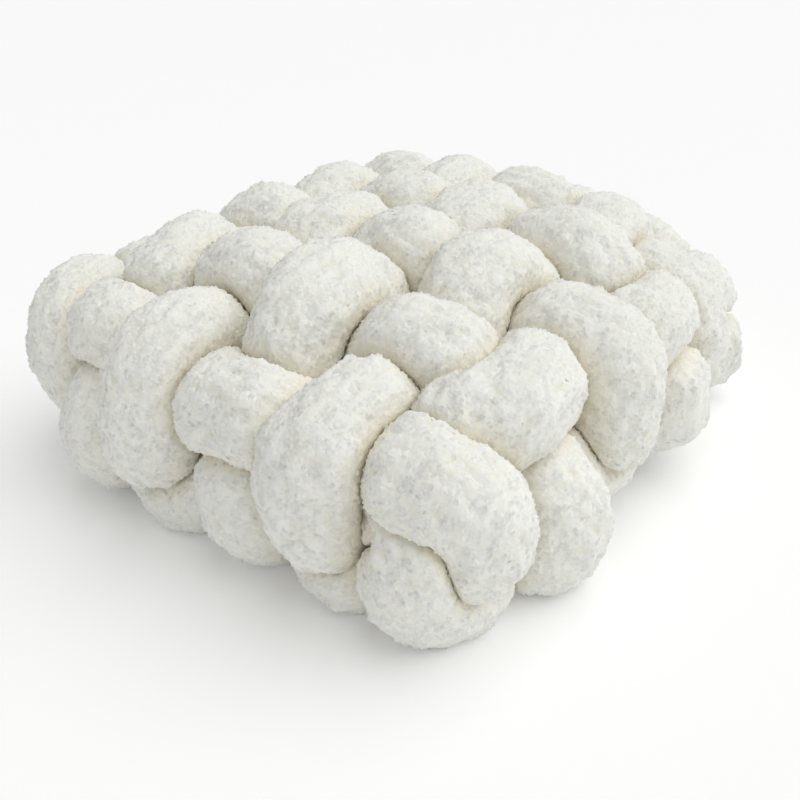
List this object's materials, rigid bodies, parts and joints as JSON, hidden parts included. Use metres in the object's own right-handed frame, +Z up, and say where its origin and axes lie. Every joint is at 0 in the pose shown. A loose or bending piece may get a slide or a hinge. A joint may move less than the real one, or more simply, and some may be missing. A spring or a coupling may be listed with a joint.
{
  "type": "knot cushion",
  "caption": "Square cushion woven by hand from a long, thick, stuffed tube of cream teddy fleece, in a plain weave of plump lobes on both faces.",
  "frame": {"origin": "on the surface that the cushion lies on, below the middle of its box", "axes": "+Z up, out of the upper face; X along the longer side, along which the runs made first lie; Y along the other side"},
  "size_m": [0.4262, 0.3938, 0.1614],
  "materials": {
    "cream_fleece": "short curly teddy fleece, soft and matt, cream, a little warmer and darker in the creases"
  },
  "bodies": {
    "root": {"woven_tube": "cream_fleece"}
  },
  "joints": []
}
